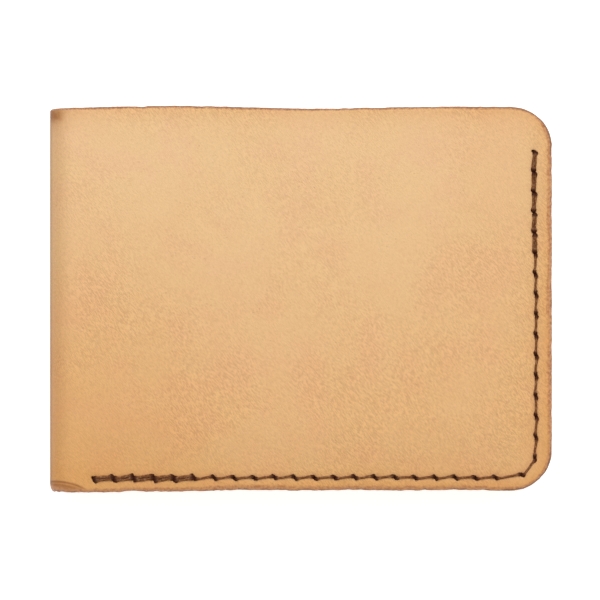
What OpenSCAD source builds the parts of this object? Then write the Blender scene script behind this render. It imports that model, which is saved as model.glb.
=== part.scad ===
// Bifold wallet in vegetable-tanned leather, closed and lying on its back cover.
// The fold is on the -X side and the open edge, for bank notes, is on the +Y side.
// The origin is on the surface it lies on, under the middle of the closed wallet.
// Both halves are built with z = 0 on their outer face; the front half is turned over.

/* [Wallet] */
// Width of the closed wallet, from the fold to the free side
wallet_w = 115; // [110:1:125]
// Height of the wallet, from the stitched bottom edge to the open edge
wallet_h = 88; // [86:1:100]
// Radius of the two corners on the free side
corner_r = 9.2; // [7:0.2:12]
// Outer radius of each of the two bends of the fold
bend_r = 4.5; // [3:0.1:5.5]

/* [Leather] */
// Thickness of the outer leather
shell_t = 1.6; // [1.2:0.1:2]
// Thickness of the two lining panels
lining_t = 0.8; // [0.6:0.1:1]
// Thickness of the four card pockets
pocket_t = 0.8; // [0.6:0.1:1]

/* [Room inside] */
// Room for bank notes between the outer leather and a lining panel
note_gap = 0.5; // [0.5:0.1:1.5]
// Room for one card behind each pocket
card_gap = 1; // [0.8:0.05:1.5]
// Space between the two halves of the closed wallet
halves_gap = 0.4; // [0.3:0.1:1]
// How far a card stands out of its pocket
card_out = 14; // [11:1:16]

/* [Stitching] */
// Distance between two stitch holes
pitch = 4.6; // [4:0.1:5.2]
// Distance from the bottom row of stitches to the edge of the leather
row_inset = 3; // [2.6:0.1:3.6]
// Distance from the stitches on the free side to the edge of the leather
column_inset = 3.6; // [2.6:0.1:3.8]
// Thickness of the thread in the edge seams
thread_d = 0.6; // [0.4:0.1:0.7]
// Height of the stitches in the pocket seams
seam_d = 0.4; // [0.3:0.05:0.45]
// Number of stitches that are sewn twice at each end of an edge seam
double_stitches = 5; // [1:1:7]

/* [Hidden] */

$fn = 96;
shell_tan = "#E3B987";
lining_tan = "#DDB07C";
pocket_tan = "#E0B482";
thread_brown = "#46230F";

// A standard card is 85.6 x 54 mm
card_w = 85.6;
card_h = 54;

// Heights above the outer face of a half, in the order of its layers
lining_z = shell_t + note_gap;
tee_z = lining_z + lining_t + card_gap;
lower_z = tee_z + pocket_t + card_gap;
half_t = lower_z + pocket_t;
wallet_t = 2 * half_t + halves_gap;
// Under the pockets in the stitched border the layers lie on each other
border_z = shell_t + lining_t;
// Along the fold side the pockets lie on the raised lining
inner_z = lining_z + lining_t;

// Stitched border, and the slope from it up to the raised part of a panel
border = 5;
slope = 2;

// Left, right, bottom and top of the layers, seen from the front
left = -wallet_w / 2;
right = wallet_w / 2;
bottom = -wallet_h / 2;
top = wallet_h / 2;
panel_left = left + 8.5;
lining_top = top - 7.6;
pocket_floor = bottom + border + slope;
lower_top = pocket_floor + card_h - card_out + 0.2;
shoulder_gap = 0.6;
tee_bottom = lower_top + shoulder_gap;
tee_top = lower_top + card_out + 0.2;
tee_floor = tee_top + card_out - card_h;
tee_flange = 3;
tail_bottom = tee_floor - slope - tee_flange;
tail_left = panel_left + border + slope + 0.5;
tail_right = right - border - slope - 0.5;

// Walls that raise a panel off its border: [direction of the raised side, offset, height
// of the lining on which the border lies, where that isn't the stitched border]
corner_x = right - corner_r;
corner_y = bottom + corner_r;
free_wall = [180, border - right];
bottom_wall = [90, bottom + border];
corner_wall = [135, (corner_y - corner_x) * sqrt(0.5) - corner_r + border];
fold_wall = [0, panel_left + border, inner_z];
tail_wall = [90, tail_bottom + tee_flange, inner_z];

// Edge seam: a row along the bottom, two holes round the corner, a column up the free side
row_y = bottom + row_inset;
row_x0 = left + 10.1;
row_last = floor((corner_x - row_x0) / pitch);
turn_angles = [-65, -16.5];
column_x = right - column_inset;
column_y0 = corner_y + 3.1;
column_y1 = top - 10.4;
column_last = round((column_y1 - column_y0) / pitch);
edge_holes = concat(
    [for (i = [0:row_last]) [row_x0 + i * pitch, row_y]],
    [for (a = turn_angles)
        [corner_x + (corner_r - column_inset) * cos(a), corner_y + (corner_r - row_inset) * sin(a)]],
    [for (i = [0:column_last])
        [column_x, column_y0 + i * (column_y1 - column_y0) / column_last]]);

// Seam along the fold side of the pockets, and the seam across the tail of the tee
seam_x = panel_left + 2.6;
seam_y0 = pocket_floor + 0.6;
pocket_holes = spaced([seam_x, seam_y0], [seam_x, tee_top - 2.2]);
tack_y = tail_bottom + tee_flange / 2;
tack_holes = spaced([tail_left + 3, tack_y], [tail_right - 3, tack_y]);

// Awl holes are diamonds, and the thread runs through them with a little room
hole_r = 0.5;
leg_r = 0.35;
// Stitches slant a little against the seam, and lie in a shallow channel outside
stitch_slant = 2.5;
channel_room = 0.1;
double_w = 1.8;

// Half of the gap left between the cover and the spine strip, as an angle of the bend
cut_angle = 1.3;

function spaced(a, b) = let (n = round(norm(b - a) / pitch)) [for (i = [0:n]) a + (b - a) * i / n];

// Width of stitch i of a seam with the given holes; the ends are sewn twice
function stitch_w(i, holes, doubled) =
    (i < doubled || i >= len(holes) - 1 - doubled) ? double_w * thread_d : thread_d;

// Height of the leather under the inner stitches of the edge seam
function hole_level(p) = border_z + (p.y < tee_top ? pocket_t : 0);
function stitch_level(i) = max(hole_level(edge_holes[i]), hole_level(edge_holes[i + 1]));

// The front half is the back half turned over onto it
module turned_over() {
    translate([0, 0, wallet_t]) mirror([0, 0, 1]) children();
}

// --- Outlines and flat patterns ---

// A panel with its free bottom corner rounded, and the top one too where asked
module panel_outline(x0, y1, round_top = false) {
    straight_top = round_top ? y1 - corner_r : y1;
    translate([x0, bottom]) square([corner_x - x0, y1 - bottom]);
    translate([x0, corner_y]) square([right - x0, straight_top - corner_y]);
    translate([corner_x, corner_y]) circle(corner_r);
    if (round_top) translate([corner_x, y1 - corner_r]) circle(corner_r);
}

module tee_outline() {
    translate([panel_left, tee_bottom]) square([right - panel_left, tee_top - tee_bottom]);
    translate([tail_left, tail_bottom])
        square([tail_right - tail_left, tee_bottom - tail_bottom]);
}

module hole_pattern(holes, r) {
    for (p = holes) translate(p) circle(r, $fn = 4);
}

// Stitch i of a seam as a slanted bar, made wider all round by room
module stitch(holes, i, doubled, room = 0) {
    a = holes[i];
    b = holes[i + 1];
    w = stitch_w(i, holes, doubled) + 2 * room;
    translate((a + b) / 2)
        rotate(atan2(b.y - a.y, b.x - a.x) + stitch_slant)
            square([norm(b - a) + leg_r + 2 * room, w], center = true);
}

// --- Leather ---

// Everything below a surface that rises inwards at one wall and goes on level from there.
// The heights are those of a panel's underside at its border and where it is raised.
module below_wall(wall, border, raised, lift) {
    reach = 2 * wallet_w;
    ledge = wall[2];
    run_down = (border + lift + 1) * slope / (raised - border);
    foot = is_undef(ledge)
        ? [[wall[1] - run_down, -1]]
        : [[-reach, -1], [-reach, ledge + lift], [wall[1], ledge + lift]];
    rotate(wall[0]) rotate([90, 0, 0]) translate([0, 0, -reach])
        linear_extrude(2 * reach)
            polygon(concat(foot, [[wall[1] + slope, raised + lift], [reach, raised + lift],
                                  [reach, -1]]));
}

// Everything below one face of a panel: its underside, or its top with the thickness as lift
module below_face(walls, border, raised, lift) {
    translate([-wallet_w, -wallet_w, -1])
        cube([2 * wallet_w, 2 * wallet_w, border + lift + 1]);
    intersection_for (w = walls) below_wall(w, border, raised, lift);
}

// A sheet of leather cut to the outline of its children and raised between its walls
module raised_panel(walls, border, raised, thickness) {
    difference() {
        intersection() {
            linear_extrude(half_t + 1) children();
            below_face(walls, border, raised, thickness);
        }
        below_face(walls, border, raised, 0);
    }
}

// Part of a bend of the fold, between two angles, drawn in the XZ plane
module bend_arc(a0, a1) {
    reach = 2 * bend_r;
    translate([left + bend_r, bend_r])
        intersection() {
            difference() {
                circle(bend_r);
                circle(bend_r - shell_t);
            }
            polygon([[0, 0], [reach * cos(a0), reach * sin(a0)],
                     [reach * cos(a1), reach * sin(a1)]]);
        }
}

module along_fold() {
    rotate([90, 0, 0]) linear_extrude(wallet_h, center = true) children();
}

module cover() {
    color(shell_tan) {
        linear_extrude(thread_d)
            difference() {
                panel_outline(left + bend_r, top, round_top = true);
                for (i = [0:len(edge_holes) - 2])
                    stitch(edge_holes, i, double_stitches, channel_room);
                hole_pattern(edge_holes, hole_r);
            }
        translate([0, 0, thread_d]) linear_extrude(shell_t - thread_d)
            difference() {
                panel_outline(left + bend_r, top, round_top = true);
                hole_pattern(edge_holes, hole_r);
            }
        along_fold() bend_arc(225 + cut_angle, 270);
    }
}

module spine() {
    color(shell_tan) along_fold() {
        bend_arc(180, 225 - cut_angle);
        translate([0, wallet_t]) mirror([0, 1]) bend_arc(180, 225 - cut_angle);
        translate([left, bend_r]) square([shell_t, wallet_t - 2 * bend_r]);
    }
}

module lining() {
    color(lining_tan) difference() {
        raised_panel([free_wall, bottom_wall, corner_wall], shell_t, lining_z, lining_t)
            panel_outline(panel_left, lining_top);
        linear_extrude(half_t) {
            hole_pattern(edge_holes, hole_r);
            hole_pattern(pocket_holes, hole_r);
            hole_pattern(tack_holes, hole_r);
        }
    }
}

// Upper pocket: a bar across the half, with a tail that hangs behind the lower pocket
module tee_pocket() {
    color(pocket_tan) difference() {
        raised_panel([free_wall, fold_wall, tail_wall], border_z, tee_z, pocket_t)
            tee_outline();
        linear_extrude(half_t) {
            hole_pattern(edge_holes, hole_r);
            hole_pattern(pocket_holes, hole_r);
            hole_pattern(tack_holes, hole_r);
        }
    }
}

module lower_pocket() {
    color(pocket_tan) difference() {
        raised_panel([free_wall, bottom_wall, corner_wall, fold_wall],
                     border_z, lower_z, pocket_t)
            panel_outline(panel_left, lower_top);
        linear_extrude(half_t) {
            hole_pattern(edge_holes, hole_r);
            hole_pattern(pocket_holes, hole_r);
        }
    }
}

// --- Thread ---

// The thread inside a hole, from the middle of one stitch to the middle of the other
module leg(p, z0, z1) {
    translate([p.x, p.y, z0]) linear_extrude(z1 - z0) circle(leg_r, $fn = 4);
}

module edge_thread() {
    last = len(edge_holes) - 1;
    color(thread_brown) {
        linear_extrude(thread_d)
            for (i = [0:last - 1]) stitch(edge_holes, i, double_stitches);
        for (level = [border_z, border_z + pocket_t])
            translate([0, 0, level]) linear_extrude(thread_d)
                for (i = [0:last - 1])
                    if (stitch_level(i) == level) stitch(edge_holes, i, double_stitches);
        for (i = [0:last])
            leg(edge_holes[i], thread_d / 2,
                max(stitch_level(min(i, last - 1)), stitch_level(max(i - 1, 0))) + thread_d / 2);
    }
}

// A seam through the lining and one pocket, between two faces that stay level
module inner_seam(holes) {
    z0 = lining_z - seam_d;
    z1 = inner_z + pocket_t;
    color(thread_brown) {
        for (z = [z0, z1])
            translate([0, 0, z]) linear_extrude(seam_d)
                for (i = [0:len(holes) - 2]) stitch(holes, i, 1);
        for (p = holes) leg(p, z0 + seam_d / 2, z1 + seam_d / 2);
    }
}

module back_cover() { cover(); }
module front_cover() { turned_over() cover(); }
module back_lining() { lining(); }
module front_lining() { turned_over() lining(); }
module back_tee_pocket() { tee_pocket(); }
module front_tee_pocket() { turned_over() tee_pocket(); }
module back_lower_pocket() { lower_pocket(); }
module front_lower_pocket() { turned_over() lower_pocket(); }
module back_edge_thread() { edge_thread(); }
module front_edge_thread() { turned_over() edge_thread(); }
module back_pocket_thread() { inner_seam(pocket_holes); }
module front_pocket_thread() { turned_over() inner_seam(pocket_holes); }
module back_tack_thread() { inner_seam(tack_holes); }
module front_tack_thread() { turned_over() inner_seam(tack_holes); }

back_cover();
spine();
front_cover();
back_lining();
back_tee_pocket();
back_lower_pocket();
front_lining();
front_tee_pocket();
front_lower_pocket();
back_edge_thread();
back_pocket_thread();
back_tack_thread();
front_edge_thread();
front_pocket_thread();
front_tack_thread();
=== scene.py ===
import math

import bpy
import numpy as np
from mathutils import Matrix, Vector
from mathutils.geometry import delaunay_2d_cdt


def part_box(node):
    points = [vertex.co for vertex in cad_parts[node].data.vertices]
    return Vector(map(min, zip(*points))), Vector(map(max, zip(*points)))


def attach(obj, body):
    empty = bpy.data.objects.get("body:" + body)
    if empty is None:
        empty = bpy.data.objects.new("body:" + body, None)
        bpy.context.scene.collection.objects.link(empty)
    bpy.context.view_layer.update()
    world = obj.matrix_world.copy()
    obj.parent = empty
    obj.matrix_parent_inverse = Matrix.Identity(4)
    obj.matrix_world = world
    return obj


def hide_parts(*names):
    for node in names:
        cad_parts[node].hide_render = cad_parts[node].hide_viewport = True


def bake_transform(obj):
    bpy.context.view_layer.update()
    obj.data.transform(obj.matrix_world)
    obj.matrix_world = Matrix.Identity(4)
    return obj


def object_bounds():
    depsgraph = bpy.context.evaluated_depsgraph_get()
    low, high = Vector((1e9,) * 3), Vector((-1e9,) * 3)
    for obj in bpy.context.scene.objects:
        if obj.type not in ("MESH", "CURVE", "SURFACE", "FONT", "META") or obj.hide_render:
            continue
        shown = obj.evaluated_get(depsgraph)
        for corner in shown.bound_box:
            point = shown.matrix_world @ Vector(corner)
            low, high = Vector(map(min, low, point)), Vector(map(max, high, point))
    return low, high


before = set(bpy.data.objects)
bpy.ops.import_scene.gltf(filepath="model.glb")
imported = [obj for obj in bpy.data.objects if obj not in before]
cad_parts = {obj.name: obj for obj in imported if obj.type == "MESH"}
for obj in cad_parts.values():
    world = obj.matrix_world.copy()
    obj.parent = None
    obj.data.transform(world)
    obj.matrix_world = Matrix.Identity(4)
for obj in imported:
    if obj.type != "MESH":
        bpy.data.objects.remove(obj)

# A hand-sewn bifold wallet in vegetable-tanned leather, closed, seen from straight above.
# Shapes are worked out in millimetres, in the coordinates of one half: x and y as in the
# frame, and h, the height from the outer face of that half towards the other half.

MM = 0.001
HALVES = ("back", "front")
cad_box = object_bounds()

# --- Sizes, the same as in part.scad ---

LEFT, BOTTOM, _ = (v / MM for v in cad_box[0])
RIGHT, TOP, THICK = (v / MM for v in cad_box[1])
BEND_R = 4.5            # outer radius of each bend of the fold
CORNER_R = 9.2          # corners on the free side
SHELL_T, LINING_T, POCKET_T = 1.6, 0.8, 0.8
NOTE_GAP, CARD_GAP = 0.5, 1.0
PITCH = 4.6
DOUBLE_STITCHES = 5     # stitches sewn twice at each end of the edge seam

PANEL_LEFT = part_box("back_lining")[0].x / MM
LINING_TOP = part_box("back_lining")[1].y / MM
LOWER_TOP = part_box("back_lower_pocket")[1].y / MM
TEE_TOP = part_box("back_tee_pocket")[1].y / MM
TAIL_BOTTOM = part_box("back_tee_pocket")[0].y / MM
TEE_BOTTOM = LOWER_TOP + 0.6
TAIL_LEFT, TAIL_RIGHT = PANEL_LEFT + 7.5, RIGHT - 7.5

# --- Seams ---

ROW_Y = BOTTOM + 3      # stitches along the bottom
COLUMN_X = RIGHT - 3.6  # stitches up the free side
COLUMN_LEAN = 0.45      # how far these lean in at their top
ROW_START = 10.1        # from the fold to the first hole of the row
TURN_ANGLES = (-65, -16.5)  # where the two holes in the corner lie, seen from its centre
COLUMN_START = 3.1      # from the corner's centre up to the first hole of the column
COLUMN_END = 10.4       # from the last hole of the column up to the open edge
THREAD_R = 0.31         # thread of the edge seam
SEAM_R = 0.2            # thinner thread of the pocket seams


def spaced(a, b):
    """Holes from a to b, about one pitch apart."""
    count = round(math.dist(a, b) / PITCH)
    return [np.array(a) + (np.array(b) - a) * i / count for i in range(count + 1)]


def edge_holes():
    """The edge seam's holes: along the bottom, round the corner and up the free side."""
    corner_x, corner_y = RIGHT - CORNER_R, BOTTOM + CORNER_R
    row_x0 = LEFT + ROW_START
    row_last = int((corner_x - row_x0) // PITCH)
    turn = [(corner_x + (COLUMN_X - corner_x) * math.cos(a),
             corner_y + (corner_y - ROW_Y) * math.sin(a))
            for a in map(math.radians, TURN_ANGLES)]
    row = [np.array((row_x0 + i * PITCH, ROW_Y)) for i in range(row_last + 1)]
    column = spaced((COLUMN_X, corner_y + COLUMN_START), (COLUMN_X, TOP - COLUMN_END))
    # Punched by hand: the row dips where it starts, the column leans in towards its top,
    # and no hole is quite in line
    by_hand = np.random.default_rng(5)
    for i, p in enumerate(row):
        p[1] += by_hand.uniform(-0.1, 0.1) - (0.28 if i < 2 else 0.12 if i < 6 else 0)
    for p in column:
        p[0] += by_hand.uniform(-0.06, 0.06) - COLUMN_LEAN * min(max(p[1] / 22, 0), 1)
    return row, [np.array(p) for p in turn], column


ROW, TURN, COLUMN = edge_holes()
EDGE = ROW + TURN + COLUMN
POCKET_SEAM = spaced((PANEL_LEFT + 2.6, BOTTOM + 7.6), (PANEL_LEFT + 2.6, TEE_TOP - 2.2))
TACK_SEAM = spaced((TAIL_LEFT + 3, TAIL_BOTTOM + 1.5), (TAIL_RIGHT - 3, TAIL_BOTTOM + 1.5))


def towards(angle, length):
    """A step of that length in a direction given in degrees."""
    return np.array((math.cos(math.radians(angle)), math.sin(math.radians(angle)))) * length


# The awl cuts slits that slant down to the right. Half a slit, from its middle to its lower
# right end, for each hole of a seam.
SLIT = 0.5
EDGE_SLITS = ([towards(-50, SLIT)] * len(ROW) + [towards(-38, SLIT * 0.8), towards(-76, SLIT)]
              + [towards(-66, SLIT)] * (len(COLUMN) - 1) + [towards(-22, SLIT)])
POCKET_SLITS = [towards(-66, SLIT * 0.8)] * len(POCKET_SEAM)
TACK_SLITS = [towards(-50, SLIT * 0.8)] * len(TACK_SEAM)


# --- How the leather lies ---

PILLOW = 1.2            # how far the outer face draws in at the stitched borders
PILLOW_REACH = 16       # and over what distance


def smooth(t):
    t = np.clip(t, 0, 1)
    return t * t * (3 - 2 * t)


def border_distance(x, y, bottom_share=1.0):
    """Distance from the stitched borders, up to where they stop being felt."""
    from_free = np.clip(PILLOW_REACH - (RIGHT - x), 0, None)
    from_bottom = np.clip(PILLOW_REACH - (y - BOTTOM), 0, None) * bottom_share
    return PILLOW_REACH - np.hypot(from_free, from_bottom)


def drawn_in(x, y):
    """How far the outer face lies inside the flat one; nothing is drawn in at the fold."""
    bottom_share = smooth((x - LEFT) / 14)
    return PILLOW * smooth(1 - border_distance(x, y, bottom_share) / PILLOW_REACH)


def opened(x, y):
    """From 0 on the sewn border, where the layers lie on each other, to 1 where they part."""
    return smooth((border_distance(x, y) - 4.5) / 11.5)


def over_tail(x, y):
    """From 0 beside the hidden tail of the tee pocket to 1 over it."""
    return smooth((border_distance(x, y) - 4.6) / 2.6) * smooth((x - TAIL_LEFT + 2.9) / 2.6)


def from_fold_seam(x):
    return smooth((x - PANEL_LEFT - 4.6) / 6)


def lining_under(x, y):
    return SHELL_T + drawn_in(x, y) + NOTE_GAP * opened(x, y)


def tee_under(x, y):
    tail = smooth((y - TAIL_BOTTOM - 2.8) / 6)
    return (lining_under(x, y) + LINING_T
            + CARD_GAP * opened(x, y) * from_fold_seam(x) * tail)


def lower_under(x, y):
    return (lining_under(x, y) + LINING_T + POCKET_T * over_tail(x, y)
            + 2 * CARD_GAP * opened(x, y) * from_fold_seam(x))


def border_inside(x, y):
    """Inner face of the sewn layers along the edge seam and the fold seam."""
    pocket = POCKET_T * (1 - smooth((y - TEE_TOP) / 0.9))
    return lining_under(x, y) + LINING_T + pocket


def tail_inside(x, y):
    return lining_under(x, y) + LINING_T + POCKET_T


# The outer leather is laid out flat for building: s runs along its outer face from the
# middle of the spine round the bend and on to the free side, and w is depth into it.
SPINE_FLAT = THICK / 2 - BEND_R
ARC = math.pi / 2 * BEND_R
UNROLLED = SPINE_FLAT + ARC - BEND_R - LEFT     # s = x + UNROLLED where the cover is flat


def shell_place(s, y, w):
    """x, y, h of points of the outer leather."""
    turn = np.clip((s - SPINE_FLAT) / BEND_R, 0, math.pi / 2)
    x = (LEFT + BEND_R - (BEND_R - w) * np.cos(turn)
         + np.clip(s - SPINE_FLAT - ARC, 0, None))
    h = BEND_R - (BEND_R - w) * np.sin(turn) + np.clip(SPINE_FLAT - s, 0, None)
    return np.column_stack((x, y, h))


def flat_place(x, y, h):
    return np.column_stack((x, y, h))


def shell_outer(s, y):
    return drawn_in(shell_place(s, y, 0)[:, 0], y)


def shell_inner(s, y):
    return shell_outer(s, y) + SHELL_T


# --- Outlines ---

def chain(corners, step, closed):
    """Points along straight lines with rounded corners, and the direction inwards at each.
    corners are (x, y, radius), counterclockwise."""
    points = [np.array(c[:2], float) for c in corners]
    line = []
    count = len(points)
    for i, here in enumerate(points):
        radius = corners[i][2]
        if not radius:
            line.append(here)
            continue
        back = points[i - 1] - here
        on = points[(i + 1) % count] - here
        back, on = back / np.hypot(*back), on / np.hypot(*on)
        half = math.acos(np.clip(back @ on, -1, 1)) / 2
        centre = here + (back + on) / np.hypot(*(back + on)) * radius / math.sin(half)
        reach = radius / math.tan(half)
        a, b = here + back * reach - centre, here + on * reach - centre
        start = math.atan2(a[1], a[0])
        sweep = math.remainder(math.atan2(b[1], b[0]) - start, 2 * math.pi)
        steps = max(4, round(abs(sweep) * radius / step))
        line += [centre + radius * np.array((math.cos(start + sweep * k / steps),
                                             math.sin(start + sweep * k / steps)))
                 for k in range(steps + 1)]
    dense = []
    for i, p in enumerate(line):
        if i + 1 == len(line) and not closed:
            dense.append(p)
            break
        q = line[(i + 1) % len(line)]
        steps = max(1, round(math.dist(p, q) / step))
        dense += [p + (q - p) * k / steps for k in range(steps)]
    dense = np.array(dense)
    if closed:
        along = np.roll(dense, -1, 0) - np.roll(dense, 1, 0)
    else:
        along = np.gradient(dense, axis=0)
    inwards = np.column_stack((-along[:, 1], along[:, 0]))
    return dense, inwards / np.linalg.norm(inwards, axis=1)[:, None]


def wander(count, length, seed):
    """A smooth random line of that many values, about as high as 1, that varies over length."""
    values = np.random.default_rng(seed).normal(size=count + 8 * length)
    window = np.hanning(2 * length + 3)
    values = np.convolve(values, window / math.sqrt((window ** 2).sum()), "same")
    return values[4 * length:4 * length + count]


def nearest(points, line):
    """For each point, the index of the nearest point of line and the distance to it."""
    index = np.empty(len(points), int)
    distance = np.empty(len(points))
    for i in range(0, len(points), 4000):
        gap = ((points[i:i + 4000, None] - line[None]) ** 2).sum(2)
        index[i:i + 4000] = gap.argmin(1)
        distance[i:i + 4000] = np.sqrt(gap.min(1))
    return index, distance


def along_seam(holes):
    """Points close together along a seam."""
    parts = [a + (b - a) * np.linspace(0, 1, 12)[:, None] for a, b in zip(holes, holes[1:])]
    return np.concatenate(parts)


# --- Leather panels ---

FINE, MEDIUM, COARSE = 0.4, 0.8, 1.6    # spacing of the points of a panel
NEAR_SEAM, ROUND_SEAM, NEAR_EDGE = 1.25, 2.7, 2.2   # where they are closer than COARSE
OFF_SLIT = 1.0          # no points of the grid closer to a hole: the slit brings its own
ROW_STEP = 0.866        # rows of points, as a share of their spacing, for even triangles
# The ovals round a slit, from the rim of its pit to the bottom: half their length as a share
# of the half slit, half their width, how deep they lie from 0 to 1, and their points
PIT_OVALS = ((1.75, 0.68, 0.0, 14), (1.38, 0.44, 0.03, 14), (1.2, 0.33, 0.3, 14),
             (1.05, 0.24, 0.8, 12), (0.75, 0.12, 1.0, 8))

# Depth and reach of the dent that the thread pulls along a seam, and of that at a hole
SEAM_DENT, HOLE_DENT = (0.13, 0.55), (0.16, 0.9)


def slit_rings(holes, slits):
    """Points in ovals round each slit, and how deep the pit is there, from 0 to 1."""
    points, depth = [], []
    for hole, half in zip(holes, slits):
        side = np.array((-half[1], half[0])) / np.hypot(*half)
        for size, width, level, count in PIT_OVALS:
            for k in range(count):
                a = 2 * math.pi * k / count
                points.append(hole + half * size * math.cos(a) + side * width * math.sin(a))
                depth.append(level)
        points.append(hole)
        depth.append(1.0)
    return np.array(points), np.array(depth)


def face_points(boundary, inwards, seams, seed, extra):
    """Points inside an outline, close together near a seam and far apart elsewhere. extra
    may ask for closer points."""
    low, high = boundary.min(0), boundary.max(0)
    columns = int((high[0] - low[0]) / FINE) + 2
    rows = int((high[1] - low[1]) / (FINE * ROW_STEP)) + 2
    i, j = np.meshgrid(np.arange(columns), np.arange(rows))
    grid = np.column_stack(((low[0] + (i + 0.5 * (j % 2)) * FINE).ravel(),
                            (low[1] + j * FINE * ROW_STEP).ravel()))
    i, j = i.ravel(), j.ravel()
    index, off_edge = nearest(grid, boundary)
    inside = ((grid - boundary[index]) * inwards[index]).sum(1) > 0
    off_seam = np.full(len(grid), 99.0)
    off_slit = np.full(len(grid), 99.0)
    for holes in seams:
        off_seam = np.minimum(off_seam, nearest(grid, along_seam(holes))[1])
        off_slit = np.minimum(off_slit, nearest(grid, np.array(holes))[1])
    wanted = np.where(off_seam < NEAR_SEAM, FINE,
                      np.where(off_seam < ROUND_SEAM, MEDIUM, COARSE))
    wanted = np.where((off_edge < NEAR_EDGE) & (wanted > MEDIUM), MEDIUM, wanted)
    if extra is not None:
        wanted = np.minimum(wanted, extra(grid[:, 0], grid[:, 1]))
    level = np.where((i % 4 == 0) & (j % 4 == 0), COARSE,
                     np.where((i % 2 == 0) & (j % 2 == 0), MEDIUM, FINE))
    keep = (inside & (level >= wanted) & (off_edge > 0.45 * np.minimum(wanted, MEDIUM))
            & (off_slit > OFF_SLIT))
    jitter = np.random.default_rng(seed).uniform(-0.12, 0.12, grid.shape) * wanted[:, None]
    return grid[keep] + jitter[keep]


def triangles(points, loop):
    """Triangles between points, inside the loop of point indices."""
    found = delaunay_2d_cdt([Vector(p) for p in points], [], [list(loop)], 1, 1e-6)
    origin = [o[0] for o in found[3]]
    return [[origin[v] for v in face] for face in found[2]]


def seam_dent(points, seams):
    """How far the thread pulls the leather in, at and between the holes of a seam."""
    dent = np.zeros(len(points))
    for holes in seams:
        for line, (depth, reach) in ((along_seam(holes), SEAM_DENT),
                                     (np.array(holes), HOLE_DENT)):
            dent += depth * np.exp(-(nearest(points, line)[1] / reach) ** 2)
    return dent


def edge_profile(front_share, back_inset):
    """The rounded edge from the first face to the second: (share of the edge's width inwards,
    share of the thickness). The first face's rounding takes front_share of the thickness, and
    the second face ends at back_inset."""
    steps = [math.pi / 2 * k / 5 for k in range(6)]
    front = [(1 - math.sin(a), front_share * (1 - math.cos(a))) for a in steps]
    back = [(back_inset * (1 - math.sin(a)), 1 - (1 - front_share) * (1 - math.cos(a)))
            for a in reversed(steps[1:-1])]
    return front + back + [(back_inset, 1.0), (1.0, 1.0)]


def new_mesh(name, points, faces, flip):
    """A mesh of points in millimetres in a half's coordinates; the front half is turned over."""
    points = np.array(points, float)
    if flip:
        points = points * (1, 1, -1) + (0, 0, THICK)
        faces = [f[::-1] for f in faces]
    mesh = bpy.data.meshes.new(name)
    mesh.from_pydata([tuple(p) for p in points * MM], [], faces)
    mesh.shade_smooth()
    mesh.validate()
    piece = bpy.data.objects.new(name, mesh)
    bpy.context.scene.collection.objects.link(piece)
    return piece


def paint(piece, **values):
    """Writes one number for each point of the mesh, for its material to read."""
    for name, numbers in values.items():
        attribute = piece.data.attributes.new(name, "FLOAT", "POINT")
        attribute.data.foreach_set("value", np.asarray(numbers, np.float32))


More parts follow.
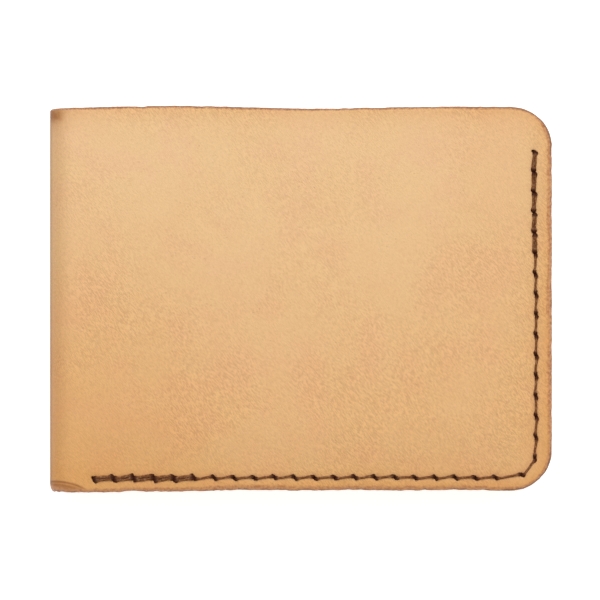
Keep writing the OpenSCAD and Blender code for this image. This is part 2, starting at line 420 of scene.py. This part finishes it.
def leather_panel(name, half, outline, inwards, edge, profile, place, first, second, grain,
                  seams, pits, pit_depth, seed, closed=True, extra=None):
    """A sheet of leather between two faces, with a rounded edge all round or, if the outline
    isn't closed, on all sides but the one between its ends.

    edge is the width of the rounded edge at each point of the outline. first and second give
    the two faces, and place turns them into points. grain says which face is the grain side,
    which the seams and the pits of the stitches are pressed into."""
    count = len(outline)
    boundary = outline + inwards * edge[:, None]
    loop = list(range(count))
    points = [boundary]
    if not closed:
        low, high = boundary[0], boundary[-1]
        steps = round((high[1] - low[1]) / 1.2)
        closing = high + (low - high) * (np.arange(1, steps) / steps)[:, None]
        points.append(closing)
        loop += list(range(count, count + len(closing)))
    around = np.concatenate(points)
    ring_inwards = np.concatenate([inwards, np.tile((1.0, 0.0), (len(around) - count, 1))])
    points.append(face_points(around, ring_inwards, seams, seed, extra))
    pit = np.zeros(sum(len(p) for p in points))
    pit_points, depth = slit_rings(*pits)
    points.append(pit_points)
    pit = np.concatenate((pit, depth))
    points = np.concatenate(points)
    total = len(points)
    faces = triangles(points, loop)
    x, y = points.T
    dent = seam_dent(points, seams) + pit * pit_depth
    sunk = [dent * (grain == 0), -dent * (grain == 1)]
    shapes = [place(x, y, first(x, y) + sunk[0]), place(x, y, second(x, y) + sunk[1])]
    near = np.exp(-nearest(points, boundary)[1] / 2.5)

    rings, marks = [], []
    for inset, share in profile[1:-1]:
        ring = outline + inwards * (edge * inset)[:, None]
        rx, ry = ring.T
        height = (1 - share) * first(rx, ry) + share * second(rx, ry)
        rings.append(place(rx, ry, height))
        marks.append(np.full(count, 1.0 - inset if share < 0.6 else 1.0))
    vertices = np.concatenate([shapes[0]] + rings + [shapes[1]])
    starts = [0] + [total + k * count for k in range(len(rings) + 1)]
    second_start = starts[-1]

    # The first face looks down, away from the second
    polygons = [face[::-1] for face in faces]
    polygons += [[v + second_start for v in face] for face in faces]
    steps = count if closed else count - 1
    for a, b in zip(starts, starts[1:]):
        for k in range(steps):
            n = (k + 1) % count
            polygons.append([a + k, a + n, b + n, b + k])
    if not closed:
        side = loop[count:]
        polygons.append([starts[0] + v for v in [count - 1] + side + [0]]
                        + starts[1:]
                        + [second_start + v for v in reversed(side)]
                        + [s + count - 1 for s in reversed(starts[1:])])
    piece = new_mesh(name, vertices, polygons, half == "front")

    # For the material: the flesh side, the cut edge, nearness to it, and the pits
    flesh = np.concatenate((np.full(total, float(grain == 1)),
                            np.zeros(len(rings) * count), np.full(total, float(grain == 0))))
    cut = np.concatenate([0 * near] + marks + [0 * near])
    near = np.concatenate((near, np.ones(len(rings) * count), near))
    holes = np.concatenate((pit * (grain == 0), np.zeros(len(rings) * count),
                            pit * (grain == 1)))
    paint(piece, flesh=flesh, cut=cut, near=near, pit=holes)
    if not closed:
        # The flat end keeps a sharp rim
        cap = piece.data.polygons[len(piece.data.polygons) - 1]
        cap.use_smooth = False
        for loop_index in cap.loop_indices:
            edge_index = piece.data.loops[loop_index].edge_index
            piece.data.edges[edge_index].use_edge_sharp = True
    return piece


def shell(half):
    """Half of the outer leather, from the middle of the spine to the free side."""
    free = RIGHT + UNROLLED
    outline, inwards = chain([(0, BOTTOM, 0), (free, BOTTOM, CORNER_R), (free, TOP, CORNER_R),
                              (0, TOP, 0)], 0.55, closed=False)
    inwards[0], inwards[-1] = (0, 1), (0, -1)
    s = outline[:, 0]
    x = s - UNROLLED
    seed = HALVES.index(half)
    from_spine = smooth(s / 6)

    # Cut by hand: the top and bottom edges wander, and all edges are a little fibrous. lean
    # is how far an edge lies inside the CAD outline
    on_top, on_bottom = smooth((-inwards[:, 1] - 0.3) / 0.6), smooth((inwards[:, 1] - 0.3) / 0.6)
    lean = on_top * (0.18 - (0.32 - 0.17 * smooth((x - 5) / 15))
                     * np.cos(2 * math.pi * (x + 30) / 70))
    lean -= 0.15 * smooth((-inwards[:, 0] - 0.3) / 0.6) * (1 - on_bottom) * from_spine
    lean += on_bottom * (-0.05 - 0.42 * smooth((-16 - x) / 20)
                         + 0.07 * np.cos(2 * math.pi * (x - 36) / 24))
    lean += 0.045 * np.abs(wander(len(s), 3, 11 + seed)) * from_spine
    lean += 0.035 * np.abs(wander(len(s), 1, 21 + seed)) * from_spine * (1 + 1.2 * on_bottom)
    outline = outline + inwards * lean[:, None]

    # The bevel is wide on the free side and at the bottom, and narrow at the open edge
    edge = 1.3 - 0.65 * on_top + 0.75 * on_bottom * smooth((LEFT + 9 - x) / 8)
    edge *= 1 + 0.09 * wander(len(s), 14, 31 + seed) * from_spine

    return leather_panel(
        "shell_" + half, half, outline, inwards, edge, edge_profile(0.62, 0.3),
        shell_place, shell_outer, shell_inner, grain=0,
        seams=[[p + (UNROLLED, 0) for p in EDGE]],
        pits=([p + (UNROLLED, 0) for p in EDGE], EDGE_SLITS), pit_depth=0.5, closed=False,
        extra=lambda s, y: np.where(s < SPINE_FLAT + ARC + 1, MEDIUM, COARSE), seed=41 + seed)


def panel(name, half, corners, under, thickness, seams, slits, seed):
    """A lining panel or a pocket, with its grain side towards the other half."""
    outline, inwards = chain(corners, 0.7, closed=True)
    outline = outline + inwards * (0.04 * np.abs(wander(len(outline), 3, seed)))[:, None]
    edge = np.full(len(outline), 0.34)
    return leather_panel(
        name + "_" + half, half, outline, inwards, edge, edge_profile(0.5, 0.8),
        flat_place, under, lambda x, y: under(x, y) + thickness, grain=1, seams=seams,
        pits=([p for holes in seams for p in holes], slits), pit_depth=0.4, seed=seed)


def between(holes, slits, low, high):
    """The holes of a seam whose y is between two heights, with their slits."""
    kept = [(p, s) for p, s in zip(holes, slits) if low < p[1] < high]
    return [p for p, _ in kept], [s for _, s in kept]


def lining(half):
    holes, slits = between(EDGE, EDGE_SLITS, TEE_TOP, LINING_TOP)
    corners = [(PANEL_LEFT, BOTTOM + 0.25, 0.8), (RIGHT - 0.2, BOTTOM + 0.25, CORNER_R),
               (RIGHT - 0.2, LINING_TOP, 0.8), (PANEL_LEFT, LINING_TOP, 0.8)]
    return panel("lining", half, corners, lining_under, LINING_T, [holes], slits,
                 51 + HALVES.index(half))


def tee_pocket(half):
    on_edge, edge_slits = between(EDGE, EDGE_SLITS, TEE_BOTTOM, TEE_TOP)
    on_fold, fold_slits = between(POCKET_SEAM, POCKET_SLITS, TEE_BOTTOM, TEE_TOP)
    corners = [(TAIL_LEFT, TAIL_BOTTOM, 1), (TAIL_RIGHT, TAIL_BOTTOM, 1),
               (TAIL_RIGHT, TEE_BOTTOM, 0.8), (RIGHT - 0.25, TEE_BOTTOM, 0.8),
               (RIGHT - 0.25, TEE_TOP, 0.8), (PANEL_LEFT, TEE_TOP, 0.8),
               (PANEL_LEFT, TEE_BOTTOM, 0.8), (TAIL_LEFT, TEE_BOTTOM, 0.8)]
    return panel("tee_pocket", half, corners, tee_under, POCKET_T, [on_edge, on_fold],
                 edge_slits + fold_slits, 61 + HALVES.index(half))


def lower_pocket(half):
    on_edge, edge_slits = between(EDGE, EDGE_SLITS, BOTTOM, LOWER_TOP)
    on_fold, fold_slits = between(POCKET_SEAM, POCKET_SLITS, BOTTOM, LOWER_TOP)
    corners = [(PANEL_LEFT, BOTTOM + 0.3, 0.8), (RIGHT - 0.25, BOTTOM + 0.3, CORNER_R),
               (RIGHT - 0.25, LOWER_TOP, 0.8), (PANEL_LEFT, LOWER_TOP, 0.8)]
    return panel("lower_pocket", half, corners, lower_under, POCKET_T, [on_edge, on_fold],
                 edge_slits + fold_slits, 71 + HALVES.index(half))


# --- Thread ---

SIDES = 14          # points round a strand
LAY = 2.3           # length of one turn of the three twisted plies
COMES_OUT = 0.75    # where the thread leaves a slit, as a share of the half slit
KNOT_LENGTH, KNOT_FADE = 0.3, 0.6   # the swelling at a hole, and how it dies away
KNOT_SWELL, KNOT_DARK = 0.75, 0.85  # how much thicker and darker the thread is there
# Width of a strand in the row and up the column, as a share of the thread's
SINGLE_WIDTH, DOUBLED_WIDTH = (0.86, 0.88), (1.06, 0.85)


def strand(start, end, level, out, radius, phase, beside=0.0, lift=0.0):
    """One stitch of twisted thread between the ends of two slits, coming out of one and going
    down into the other. level is the face that it lies on, out is +1 or -1, the direction
    away from the leather, and beside moves it sideways for a seam that is sewn twice. phase
    turns its plies."""
    length = math.dist(start, end)
    along = (end - start) / length
    side = np.array((-along[1], along[0]))
    up = radius * 0.32 + lift

    # Its middle line, from below one hole to below the other: (way along, height)
    keys = np.array([(-0.05, -0.85), (-0.03, -0.5), (0.08, -0.15), (0.38, up * 0.6), (0.95, up)])
    mirrored = keys[::-1] * (-1, 1) + (length, 0)
    keys = np.concatenate((keys, mirrored))
    t = np.concatenate(([0], np.cumsum(np.hypot(*np.diff(keys, axis=0).T))))
    fine = np.linspace(0, t[-1], 30)
    reach, height = np.interp(fine, t, keys[:, 0]), np.interp(fine, t, keys[:, 1])
    for _ in range(2):
        reach[1:-1] = (reach[:-2] + 2 * reach[1:-1] + reach[2:]) / 4
        height[1:-1] = (height[:-2] + 2 * height[1:-1] + height[2:]) / 4
    share = np.clip(reach / length, 0, 1)
    aside = beside * (0.72 + 0.28 * np.sin(math.pi * share)) + 0.05 * np.sin(5 * share + phase)
    plan = start + along * reach[:, None] + side * aside[:, None]
    path = np.column_stack((plan, level(plan[:, 0], plan[:, 1]) + out * height))

    tangent = np.gradient(path, axis=0)
    tangent /= np.linalg.norm(tangent, axis=1)[:, None]
    across = np.append(side, 0.0)
    normal = np.cross(tangent, across)
    around = np.linspace(0, 2 * math.pi, SIDES, endpoint=False)

    # Three plies with grooves between them. At a hole the thread swells, and it is painted dark
    # there as the shade where it dives in
    turn = around[None] * 3 - 2 * math.pi * fine[:, None] / LAY + phase
    off_hole = np.minimum(reach, length - reach)
    knot = np.clip(1 - (off_hole - KNOT_LENGTH) / KNOT_FADE, 0, 1)
    r = radius * (1 + 0.09 * np.cos(turn) - 0.12 * (1 - np.abs(np.cos(turn / 2))))
    r = r * (1 + KNOT_SWELL * knot[:, None])
    rings = (path[:, None] + across * (r * np.cos(around))[:, :, None]
             + normal[:, None] * (r * np.sin(around))[:, :, None])
    count = len(fine)
    faces = [[i * SIDES + k, i * SIDES + (k + 1) % SIDES,
              (i + 1) * SIDES + (k + 1) % SIDES, (i + 1) * SIDES + k]
             for i in range(count - 1) for k in range(SIDES)]
    faces.append(list(range(SIDES))[::-1])
    faces.append([(count - 1) * SIDES + k for k in range(SIDES)])
    # Painted shade: darker in the grooves between the plies, below the leather's face and near
    # the holes
    groove = np.clip(-np.cos(turn), 0, 1).ravel()
    deep = np.clip((0.06 - height) / 0.3, 0, 1).repeat(SIDES)
    dark = np.maximum(deep, KNOT_DARK * knot.repeat(SIDES))
    return rings.reshape(-1, 3), faces, np.maximum(groove * 0.6, dark)


def seam_strands(holes, slits, level, out, radius, doubled, row_count):
    """The stitches of one side of a seam. In the row a stitch runs from the lower end of a
    slit to the upper end of the next; further on, from upper end to lower end."""
    strands = []
    for i, (a, b) in enumerate(zip(holes, holes[1:])):
        leaves = 1 if i <= row_count else -1
        enters = -1 if i < row_count else 1
        start = a + slits[i] * leaves * COMES_OUT
        end = b + slits[i + 1] * enters * COMES_OUT
        phase = 1.7 * i
        in_column = i > row_count
        twice = i < doubled or i >= len(holes) - 1 - doubled
        if not twice:
            pulled = radius * SINGLE_WIDTH[in_column]
            strands.append(strand(start, end, level, out, pulled, phase))
            continue
        pulled = radius * DOUBLED_WIDTH[in_column]
        for beside, lift in ((-1, 0.0), (1, 0.06)):
            strands.append(strand(start, end, level, out, pulled, phase + beside,
                                  beside=beside * pulled, lift=lift))
    return strands


def thread_piece(name, half, strands):
    """One mesh of all the strands of a seam."""
    points, faces, dark, start = [], [], [], 0
    for ring_points, ring_faces, ring_dark in strands:
        points.append(ring_points)
        faces += [[v + start for v in face] for face in ring_faces]
        dark.append(ring_dark)
        start += len(ring_points)
    piece = new_mesh(name + "_" + half, np.concatenate(points), faces, half == "front")
    paint(piece, groove=np.concatenate(dark))
    return piece


def edge_thread(half):
    row = len(ROW)
    outside = seam_strands(EDGE, EDGE_SLITS, drawn_in, -1, THREAD_R, DOUBLE_STITCHES, row)
    inside = seam_strands(EDGE, EDGE_SLITS, border_inside, 1, THREAD_R, DOUBLE_STITCHES, row)
    return thread_piece("edge_thread", half, outside + inside)


def inner_thread(name, half, holes, slits, level, row_count):
    outside = seam_strands(holes, slits, lining_under, -1, SEAM_R, 1, row_count)
    inside = seam_strands(holes, slits, level, 1, SEAM_R, 1, row_count)
    return thread_piece(name, half, outside + inside)


# --- Materials ---

# A crease across the bottom of the fold, part of a circle
CREASE, CREASE_R = (-55.84, -55.26), 13.41


class Nodes:
    """Builds the nodes of one material, with a Principled shader at the end."""

    def __init__(self, name):
        self.material = bpy.data.materials.new(name)
        self.material.use_nodes = True
        self.tree = self.material.node_tree
        self.shader = self.tree.nodes["Principled BSDF"]

    def add(self, kind, output=0, **settings):
        """A node; settings are its properties or, if no property has that name, its inputs."""
        node = self.tree.nodes.new("ShaderNode" + kind)
        sockets = {}
        for key, value in settings.items():
            if key[0].islower() and hasattr(node, key):
                setattr(node, key, value)
            else:
                sockets[key] = value
        for key, value in sockets.items():
            self.put(node.inputs[int(key[1:])] if key[0] == "i" and key[1:].isdigit()
                     else node.inputs[key], value)
        return node.outputs[output]

    def put(self, socket, value):
        if isinstance(value, bpy.types.NodeSocket):
            self.tree.links.new(value, socket)
        else:
            socket.default_value = value

    def shade(self, **values):
        for key, value in values.items():
            self.put(self.shader.inputs[key.replace("_", " ")], value)

    def math(self, operation, a, b=0.0):
        return self.add("Math", operation=operation, i0=a, i1=b)

    def ramp(self, value, low, high, to_low=0.0, to_high=1.0):
        return self.add("MapRange", interpolation_type="SMOOTHSTEP", Value=value,
                        i1=low, i2=high, i3=to_low, i4=to_high)

    def mix(self, share, a, b, blend="MIX"):
        return self.add("Mix", 2, data_type="RGBA", blend_type=blend, i0=share, i6=a, i7=b)

    def noise(self, place, scale, detail=2.0, roughness=0.5):
        return self.add("TexNoise", Vector=place, Scale=scale, Detail=detail,
                        Roughness=roughness)

    def attribute(self, name):
        return self.add("Attribute", 2, attribute_name=name)

    def spot(self, place, centre, inner, outer):
        """1 near a point in plan, in millimetres, and 0 beyond outer."""
        flat = self.add("VectorMath", operation="MULTIPLY", i0=place, i1=(1, 1, 0))
        gap = self.add("VectorMath", 1, operation="DISTANCE", i0=flat,
                       i1=(centre[0] * MM, centre[1] * MM, 0))
        return self.ramp(gap, inner * MM, outer * MM, 1.0, 0.0)

    def stretched(self, place, angle, across, along):
        """Coordinates turned by angle and stretched, for grain that runs one way."""
        turned = self.add("Mapping", Vector=place, Rotation=(0, 0, math.radians(angle)))
        return self.add("Mapping", Vector=turned, Scale=(along, across, across))


def rgb(red, green, blue):
    """A colour from its 0 to 255 screen values."""
    def linear(v):
        v /= 255
        return v / 12.92 if v <= 0.04045 else ((v + 0.055) / 1.055) ** 2.4
    return (linear(red), linear(green), linear(blue), 1.0)


BURNT, RIM = rgb(204, 146, 98), rgb(112, 68, 42)
SMUDGED, CREASE_SHADE = rgb(174, 114, 56), rgb(160, 98, 48)
FLESH, FLESH_LIGHT = rgb(196, 150, 104), rgb(220, 180, 134)
SLIT_SHADE = rgb(92, 42, 16)


def leather(name, light, deep, patina_and_shade):
    """Vegetable-tanned leather: mottled, finely grained, burnished at its cut edges, with a
    fibrous flesh side. Painted shade darkens the curve of the fold, a crease and the slits.
    The last argument scales the deeper tan towards the bottom and the fold, the smudges from
    handling, the darker top and corner edges, and the painted shade at the fold and crease.
    Places in it are in metres, as in the frame."""
    n = Nodes(name)
    place = n.add("TexCoord", 3)
    x, y = (n.add("SeparateXYZ", k, Vector=place) for k in range(2))

    # Colour: cloudy mottling, and deeper tan towards the bottom and the fold
    clouds = n.noise(place, 55, 3, 0.55)
    blotches = n.noise(place, 230, 3, 0.6)
    downward = n.ramp(y, 0.040, -0.046)
    to_fold = n.ramp(x, -0.005, -0.056)
    tone = n.math("ADD", n.math("MULTIPLY", downward, 0.55),
                  n.math("MULTIPLY", n.math("MULTIPLY", to_fold, downward), 0.35))
    outer_top = n.math("MULTIPLY", n.ramp(x, 0.015, 0.052),
                       n.math("SUBTRACT", 1.0, downward))
    tone = n.math("ADD", tone, n.math("MULTIPLY", outer_top, 0.22))
    tone = n.math("MULTIPLY", tone, patina_and_shade)
    tone = n.math("ADD", tone, n.ramp(clouds, 0.3, 0.75, -0.04, 0.08))
    tone = n.math("ADD", tone, n.ramp(blotches, 0.25, 0.8, -0.02, 0.04))
    tone = n.math("ADD", tone, n.math("MULTIPLY", n.attribute("near"), 0.45))
    colour = n.mix(tone, light, deep)
    pinkish = n.ramp(n.noise(place, 110, 2), 0.4, 0.65)
    colour = n.mix(pinkish, colour, n.mix(1.0, colour, (1.01, 0.98, 1.03, 1), "MULTIPLY"))

    # Smudged and creased by handling at the ends of the fold; the crease is drawn only as a line
    # of painted shade
    smudge = n.math("ADD", n.spot(place, (LEFT + 1.6, TOP - 1.9), 0.6, 2.6),
                    n.math("MULTIPLY", n.spot(place, (LEFT + 1.0, TOP - 0.6), 1.0, 7.5), 0.5))
    smudge = n.math("MULTIPLY", smudge, n.ramp(blotches, 0.3, 0.7, 0.25, 0.75))
    ends = n.ramp(x, -0.0478, -0.0512)
    below = n.math("MULTIPLY", n.spot(place, CREASE, CREASE_R - 1.0, CREASE_R), ends)
    smudge = n.math("ADD", smudge, n.math("MULTIPLY", below, 1.15))
    colour = n.mix(n.math("MULTIPLY", smudge, patina_and_shade), colour, SMUDGED)
    # Painted shade: a thin dark line along the crease, which the mesh doesn't have
    crease = n.math("SUBTRACT", n.spot(place, CREASE, CREASE_R - 0.1, CREASE_R + 0.4),
                    n.spot(place, CREASE, CREASE_R - 0.5, CREASE_R - 0.15))
    crease = n.math("MULTIPLY", n.math("MULTIPLY", crease, ends), 0.9 * patina_and_shade)
    colour = n.mix(crease, colour, CREASE_SHADE)

    # Painted shade where the leather curves away over the fold, deepest at its outermost side
    fold = n.ramp(x, -0.0515, -0.0572)
    colour = n.mix(n.math("MULTIPLY", fold, 0.68 * patina_and_shade), colour,
                   n.mix(1.0, colour, rgb(222, 212, 200), "MULTIPLY"))
    colour = n.mix(n.math("MULTIPLY", n.ramp(x, -0.0566, -0.0574), 0.95 * patina_and_shade), colour,
                   n.mix(1.0, colour, rgb(205, 200, 194), "MULTIPLY"))

    # Grain: fine pebbles and pores, and faint stretch lines slanting down to the right
    warp = n.add("VectorMath", operation="ADD", i0=place,
                 i1=n.add("VectorMath", operation="SCALE", i0=n.add(
                     "TexNoise", 1, Vector=place, Scale=300.0, Detail=2.0), Scale=0.0006))
    pebbles = n.add("TexVoronoi", Vector=warp, Scale=2300.0, feature="SMOOTH_F1",
                    Smoothness=0.6)
    creases = n.noise(n.stretched(warp, 50, 5200, 1000), 1.0, 1, 0.5)
    lined = n.ramp(n.noise(place, 60, 1), 0.35, 0.65, 0.45, 1.0)
    lined = n.math("MULTIPLY", lined, n.ramp(tone, -0.1, 0.6, 0.45, 1.0))
    specks = n.noise(place, 3600, 2, 0.6)
    pores = n.ramp(n.add("TexVoronoi", Vector=warp, Scale=780.0), 0.10, 0.22, 1.0, 0.0)
    pores = n.math("MULTIPLY", pores, n.ramp(n.noise(place, 170, 1), 0.5, 0.7))
    line_tone = n.math("MULTIPLY", n.ramp(creases, 0.41, 0.59, -1.0, 1.0), lined)
    shade = n.math("ADD", n.math("MULTIPLY", line_tone, 0.17),
                   n.ramp(specks, 0.3, 0.7, -0.06, 0.07))
    shade = n.math("ADD", shade, n.math("MULTIPLY", pores, 0.08))
    # Along the stretch lines the leather is painted paler and darker: partly the grain's own
    # tone, partly painted highlight and shade on its ridges
    paler = n.mix(1.0, colour, (1.5, 1.5, 1.45, 1), "MULTIPLY")
    colour = n.mix(shade, colour, n.mix(1.0, colour, rgb(150, 110, 78), "MULTIPLY"))
    colour = n.mix(n.math("MULTIPLY", shade, -1.0), colour, paler)

    # Cut edges: burnished darker towards the rim, with speckled fibres
    cut = n.attribute("cut")
    fibres = n.noise(place, 1500, 4, 0.65)
    ragged = n.math("ADD", cut, n.ramp(fibres, 0.3, 0.7, -0.12, 0.12))
    corner = n.math("ADD", x, n.math("ABSOLUTE", y))
    darker = n.math("ADD", n.ramp(y, 0.0415, 0.0432, 0.0, 0.8 * patina_and_shade),
                    n.ramp(corner, 0.088, 0.094, 0.0, 0.35 * patina_and_shade))
    ragged = n.math("ADD", ragged, n.math("MULTIPLY", cut, darker))
    rim = n.ramp(ragged, 0.02, 0.5)
    worn = n.ramp(n.noise(place, 120, 2), 0.35, 0.7, 0.75, 1.0)
    burnt_tone = n.mix(n.ramp(fibres, 0.4, 0.62), BURNT,
                       n.mix(1.0, BURNT, rgb(226, 205, 188), "MULTIPLY"))
    colour = n.mix(n.math("MULTIPLY", rim, worn), colour, burnt_tone)
    colour = n.mix(n.ramp(ragged, 0.72, 1.0, 0.0, 0.75), colour, RIM)

    # The flesh side is paler and fibrous, and the slits are painted dark as the shade in them
    fuzz = n.noise(n.stretched(place, 15, 1400, 500), 1.0, 4, 0.7)
    flesh = n.attribute("flesh")
    colour = n.mix(flesh, colour, n.mix(n.ramp(fuzz, 0.3, 0.7), FLESH, FLESH_LIGHT))
    colour = n.mix(n.ramp(n.attribute("pit"), 0.02, 0.35), colour, SLIT_SHADE)

    # Gloss and relief
    rough = n.math("ADD", n.ramp(pebbles, 0.0, 0.7, 0.50, 0.58),
                   n.ramp(clouds, 0.3, 0.7, -0.03, 0.05))
    rough = n.math("SUBTRACT", rough, n.math("MULTIPLY", rim, 0.10))
    rough = n.math("ADD", rough, n.math("MULTIPLY", flesh, 0.35))

    relief = n.math("ADD", n.math("MULTIPLY", pebbles, 0.35),
                    n.math("MULTIPLY", n.math("MULTIPLY", creases, lined), -1.3))
    relief = n.math("ADD", relief, n.math("MULTIPLY", pores, -0.8))
    relief = n.math("ADD", relief, n.math("MULTIPLY", specks, 0.25))
    relief = n.math("ADD", relief, n.math("MULTIPLY", rim, n.math("MULTIPLY", fibres, 2.0)))
    relief = n.mix(flesh, relief, n.math("MULTIPLY", fuzz, 3.0))
    bump = n.add("Bump", Height=relief, Distance=0.00006, Strength=1.0)
    n.shade(Base_Color=colour, Roughness=rough, Normal=bump, Specular_IOR_Level=0.35)
    return n.material


def waxed_thread():
    """Dark brown waxed linen, with paler wax on the high plies. Painted shade darkens the
    grooves between its plies and the thread where it dives into a hole.
    """
    n = Nodes("waxed_linen")
    place = n.add("TexCoord", 3)
    groove = n.attribute("groove")
    wax = n.noise(place, 1900, 3, 0.6)
    strands = n.noise(place, 5200, 2, 0.6)
    colour = n.mix(n.ramp(strands, 0.35, 0.65), rgb(94, 50, 23), rgb(138, 88, 50))
    colour = n.mix(n.ramp(wax, 0.45, 0.7, 0.0, 0.7), colour, rgb(172, 128, 92))
    # Painted shade in the grooves between the plies and where the thread dives into a hole
    colour = n.mix(n.ramp(groove, 0.15, 0.85, 0.0, 0.94), colour, rgb(58, 19, 6))
    relief = n.math("ADD", strands, wax)
    bump = n.add("Bump", Height=relief, Distance=0.00004, Strength=1.0)
    n.shade(Base_Color=colour, Roughness=n.ramp(wax, 0.4, 0.7, 0.6, 0.45), Normal=bump,
            Specular_IOR_Level=0.12)
    return n.material


SHELL_LEATHER = leather("shell_grain", rgb(232, 192, 141), rgb(219, 161, 95), 1.0)
LINING_LEATHER = leather("lining_grain", rgb(226, 180, 130), rgb(212, 158, 106), 0.4)
POCKET_LEATHER = leather("pocket_grain", rgb(229, 184, 134), rgb(214, 160, 108), 0.4)
THREAD = waxed_thread()


# --- The wallet ---

def finish_piece(piece, material, slot, *nodes):
    piece.data.materials.append(material)
    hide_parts(*nodes)
    return piece


def build_half(half):
    """All pieces of one half. Its outer leather is not attached to a body, and the rest rides
    on the half."""
    body = half + "_half"
    cover = finish_piece(shell(half), SHELL_LEATHER, "shell_leather",
                         half + "_cover", *(["spine"] if half == "front" else []))
    if half == "back":
        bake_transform(cover)
    else:
        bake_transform(cover)
    pieces = (
        (lining(half), LINING_LEATHER, "lining_leather", "_lining"),
        (tee_pocket(half), POCKET_LEATHER, "pocket_leather", "_tee_pocket"),
        (lower_pocket(half), POCKET_LEATHER, "pocket_leather", "_lower_pocket"),
        (edge_thread(half), THREAD, "waxed_thread", "_edge_thread"),
        (inner_thread("pocket_thread", half, POCKET_SEAM, POCKET_SLITS, border_inside, -1),
         THREAD, "waxed_thread", "_pocket_thread"),
        (inner_thread("tack_thread", half, TACK_SEAM, TACK_SLITS, tail_inside, len(TACK_SEAM)),
         THREAD, "waxed_thread", "_tack_thread"),
    )
    for piece, material, slot, node in pieces:
        finish_piece(piece, material, slot, half + node)
        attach(piece, body)


for half in HALVES:
    build_half(half)


# --- Floor, light and camera ---

def plain(name, colour, roughness, glow):
    """A plain surface that glows a little, like a light table, so that shadows stay faint."""
    n = Nodes(name)
    n.shade(Base_Color=colour, Roughness=roughness, Specular_IOR_Level=0.1,
            Emission_Color=colour, Emission_Strength=glow)
    return n.material


def floor():
    """Just under the wallet, so that its back face and the floor aren't in one plane."""
    size, level = 6.0, -0.05 * MM
    mesh = bpy.data.meshes.new("floor")
    mesh.from_pydata([(-size, -size, level), (size, -size, level), (size, size, level),
                      (-size, size, level)], [], [[0, 1, 2, 3]])
    mesh.materials.append(plain("floor_white", (0.93, 0.93, 0.93, 1), 0.9, 0.62))
    ground = bpy.data.objects.new("floor", mesh)
    bpy.context.scene.collection.objects.link(ground)


def soft_light(name, place, size, power):
    lamp = bpy.data.lights.new(name, "AREA")
    lamp.shape, lamp.size, lamp.size_y = "RECTANGLE", size, size
    lamp.energy = power
    lamp_object = bpy.data.objects.new(name, lamp)
    lamp_object.location = place
    lamp_object.rotation_euler = (-Vector(place)).to_track_quat("-Z", "Y").to_euler()
    bpy.context.scene.collection.objects.link(lamp_object)


def daylight(strength):
    world = bpy.data.worlds.new("studio")
    world.use_nodes = True
    world.node_tree.nodes["Background"].inputs["Color"].default_value = (1, 1, 1, 1)
    world.node_tree.nodes["Background"].inputs["Strength"].default_value = strength
    bpy.context.scene.world = world


def overhead_camera():
    """Straight above, far away, and a little off the wallet's middle. width is what it sees
    at the height of the front cover."""
    lens, sensor, width = 300.0, 36.0, 137.2 * MM
    camera = bpy.data.cameras.new("camera")
    camera.lens, camera.sensor_width = lens, sensor
    camera.clip_start = 0.01
    camera_object = bpy.data.objects.new("camera", camera)
    height = THICK * MM + width * lens / sensor
    camera_object.location = (-0.00012, -0.00037, height)
    bpy.context.scene.collection.objects.link(camera_object)
    bpy.context.scene.camera = camera_object


floor()
daylight(0.49)
soft_light("window", (0.25, 0.85, 1.15), 0.9, 12.55)
soft_light("fill", (-0.7, -0.4, 1.0), 0.9, 2.5)
overhead_camera()
bpy.context.scene.view_settings.view_transform = "Standard"
